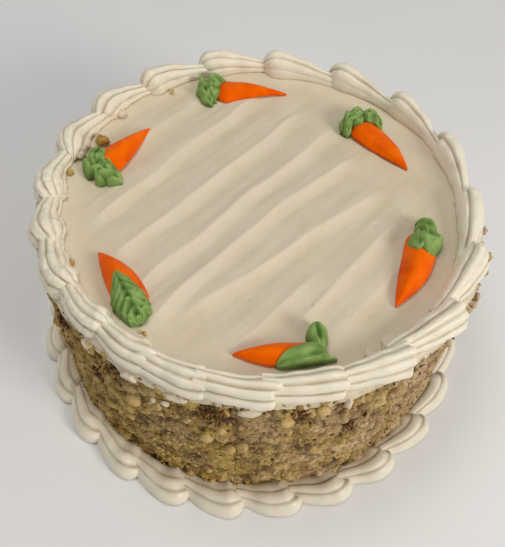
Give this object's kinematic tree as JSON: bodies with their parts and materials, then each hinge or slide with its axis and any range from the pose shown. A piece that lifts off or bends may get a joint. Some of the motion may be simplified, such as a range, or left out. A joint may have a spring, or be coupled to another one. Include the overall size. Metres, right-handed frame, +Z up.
{
  "type": "carrot cake",
  "caption": "Round whole carrot cake with an iced top, piped borders at top and base, a coat of chopped nuts and small icing carrots.",
  "frame": {"origin": "centre of the cake's base, on the surface that it stands on", "axes": "+Z up through the middle of the cake; the front, seen first, faces -Y"},
  "size_m": [0.2311, 0.233, 0.1076],
  "materials": {
    "nut_coat": "matt crumb of chopped nuts, sandy tan with dark specks",
    "icing": "smooth soft cream icing with a faint sheen",
    "piped_icing": "smooth soft cream icing with a faint sheen",
    "orange_icing": "smooth icing, satin",
    "green_icing": "smooth icing, matt"
  },
  "bodies": {
    "root": {"base_shell_01": "piped_icing", "base_shell_02": "piped_icing", "base_shell_03": "piped_icing", "base_shell_04": "piped_icing", "base_shell_05": "piped_icing", "base_shell_06": "piped_icing", "base_shell_07": "piped_icing", "base_shell_08": "piped_icing", "base_shell_09": "piped_icing", "base_shell_10": "piped_icing", "base_shell_11": "piped_icing", "base_shell_12": "piped_icing", "base_shell_13": "piped_icing", "base_shell_14": "piped_icing", "base_shell_15": "piped_icing", "base_shell_16": "piped_icing", "base_shell_17": "piped_icing", "base_shell_18": "piped_icing", "base_shell_19": "piped_icing", "base_shell_20": "piped_icing", "base_shell_21": "piped_icing", "base_shell_22": "piped_icing", "base_shell_23": "piped_icing", "base_shell_24": "piped_icing", "base_shell_25": "piped_icing", "cake_body": "nut_coat", "carrot_1": "orange_icing", "carrot_2": "orange_icing", "carrot_3": "orange_icing", "carrot_4": "orange_icing", "carrot_5": "orange_icing", "carrot_6": "orange_icing", "carrot_greens_1": "green_icing", "carrot_greens_2": "green_icing", "carrot_greens_3": "green_icing", "carrot_greens_4": "green_icing", "carrot_greens_5": "green_icing", "carrot_greens_6": "green_icing", "top_icing": "icing", "top_shell_01": "piped_icing", "top_shell_02": "piped_icing", "top_shell_03": "piped_icing", "top_shell_04": "piped_icing", "top_shell_05": "piped_icing", "top_shell_06": "piped_icing", "top_shell_07": "piped_icing", "top_shell_08": "piped_icing", "top_shell_09": "piped_icing", "top_shell_10": "piped_icing", "top_shell_11": "piped_icing", "top_shell_12": "piped_icing", "top_shell_13": "piped_icing", "top_shell_14": "piped_icing", "top_shell_15": "piped_icing", "top_shell_16": "piped_icing", "top_shell_17": "piped_icing", "top_shell_18": "piped_icing", "top_shell_19": "piped_icing", "top_shell_20": "piped_icing"}
  },
  "joints": []
}
